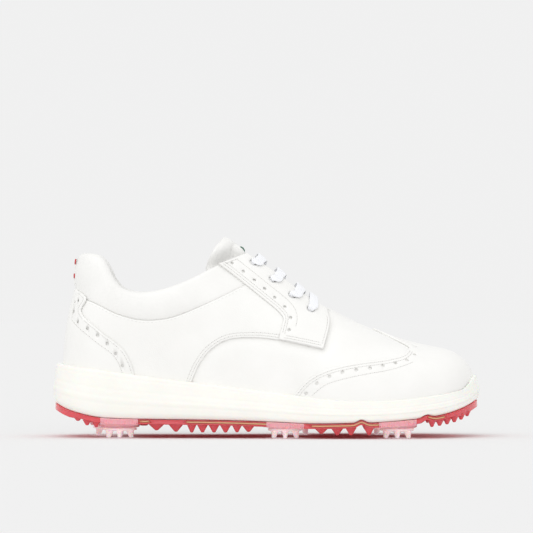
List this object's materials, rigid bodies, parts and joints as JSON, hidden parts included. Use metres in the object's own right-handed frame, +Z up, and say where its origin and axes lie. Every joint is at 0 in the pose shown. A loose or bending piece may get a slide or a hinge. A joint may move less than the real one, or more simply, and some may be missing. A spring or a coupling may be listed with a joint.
{
  "type": "golf shoe",
  "caption": "Men's right wingtip golf shoe with layered leather panels, padded collar and tongue, flat lace, foam midsole and turn-lock soft spikes in a toothed sole.",
  "frame": {"origin": "middle of the bounding box, on the ground under the spikes", "axes": "+X from the heel to the toe, +Y to the inner (medial) side of the foot, +Z up"},
  "size_m": [0.3, 0.1096, 0.1417],
  "materials": {
    "leather": "smooth white full-grain leather",
    "padded_leather": "soft white leather over foam padding",
    "red_trim": "red trim leather",
    "label": "woven label",
    "lining": "padded textile lining",
    "stiffener": "moulded sheet",
    "board": "non-woven lasting board",
    "sock_foam": "cloth-topped foam insole",
    "eva_foam": "moulded foam midsole",
    "red_tpu": "translucent red elastomer",
    "gold_plate": "golden beige plate",
    "pink_tpu": "translucent pink elastomer",
    "receptacle_nylon": "moulded nylon",
    "clear_tpu": "clear elastomer",
    "lace_weave": "flat woven lace",
    "aglet_plastic": "clear film tip"
  },
  "bodies": {
    "shoe": {"vamp": "leather", "wing_cap": "leather", "quarter_lateral": "leather", "quarter_medial": "leather", "facing_lateral": "leather", "facing_medial": "leather", "heel_foxing": "leather", "collar": "padded_leather", "heel_tab": "red_trim", "quarter_lining": "lining", "vamp_lining": "lining", "heel_counter": "stiffener", "toe_puff": "stiffener", "insole_board": "board", "sockliner": "sock_foam", "midsole": "eva_foam", "outsole": "red_tpu", "shank_plate": "gold_plate", "pod_heel_lateral": "pink_tpu", "receptacle_heel_lateral": "receptacle_nylon", "pod_heel_medial": "pink_tpu", "receptacle_heel_medial": "receptacle_nylon", "pod_ball_lateral": "pink_tpu", "receptacle_ball_lateral": "receptacle_nylon", "pod_ball_medial": "pink_tpu", "receptacle_ball_medial": "receptacle_nylon", "pod_fore_lateral": "pink_tpu", "receptacle_fore_lateral": "receptacle_nylon", "pod_fore_medial": "pink_tpu", "receptacle_fore_medial": "receptacle_nylon", "lace": "lace_weave", "lace_end_lateral": "lace_weave", "lace_end_medial": "lace_weave", "aglet_lateral": "aglet_plastic", "aglet_medial": "aglet_plastic"},
    "tongue": {"tongue": "padded_leather", "tongue_label": "label"},
    "spike_heel_lateral": {"spike_heel_lateral": "clear_tpu"},
    "spike_heel_medial": {"spike_heel_medial": "clear_tpu"},
    "spike_ball_lateral": {"spike_ball_lateral": "clear_tpu"},
    "spike_ball_medial": {"spike_ball_medial": "clear_tpu"},
    "spike_fore_lateral": {"spike_fore_lateral": "clear_tpu"},
    "spike_fore_medial": {"spike_fore_medial": "clear_tpu"}
  },
  "joints": [
    {"name": "tongue_fold", "type": "hinge", "parent": "shoe", "child": "tongue", "pos_m": [0.047, 0.00578, 0.082], "axis": [0, 1, 0], "range_deg": [-10, 0], "stiffness_Nm_per_rad": 1.5},
    {"name": "spike_heel_lateral_turn", "type": "hinge", "parent": "shoe", "child": "spike_heel_lateral", "pos_m": [-0.1025, -0.01922, 0.0072], "axis": [0, 0, 1], "range_deg": [-60, 0]},
    {"name": "spike_heel_medial_turn", "type": "hinge", "parent": "shoe", "child": "spike_heel_medial", "pos_m": [-0.111, 0.01778, 0.0072], "axis": [0, 0, 1], "range_deg": [-60, 0]},
    {"name": "spike_ball_lateral_turn", "type": "hinge", "parent": "shoe", "child": "spike_ball_lateral", "pos_m": [0.013, -0.02922, 0.0072], "axis": [0, 0, 1], "range_deg": [-60, 0]},
    {"name": "spike_ball_medial_turn", "type": "hinge", "parent": "shoe", "child": "spike_ball_medial", "pos_m": [0.02, 0.02878, 0.0072], "axis": [0, 0, 1], "range_deg": [-60, 0]},
    {"name": "spike_fore_lateral_turn", "type": "hinge", "parent": "shoe", "child": "spike_fore_lateral", "pos_m": [0.091, -0.03022, 0.0072], "axis": [0, 0, 1], "range_deg": [-60, 0]},
    {"name": "spike_fore_medial_turn", "type": "hinge", "parent": "shoe", "child": "spike_fore_medial", "pos_m": [0.086, 0.03178, 0.0072], "axis": [0, 0, 1], "range_deg": [-60, 0]}
  ]
}
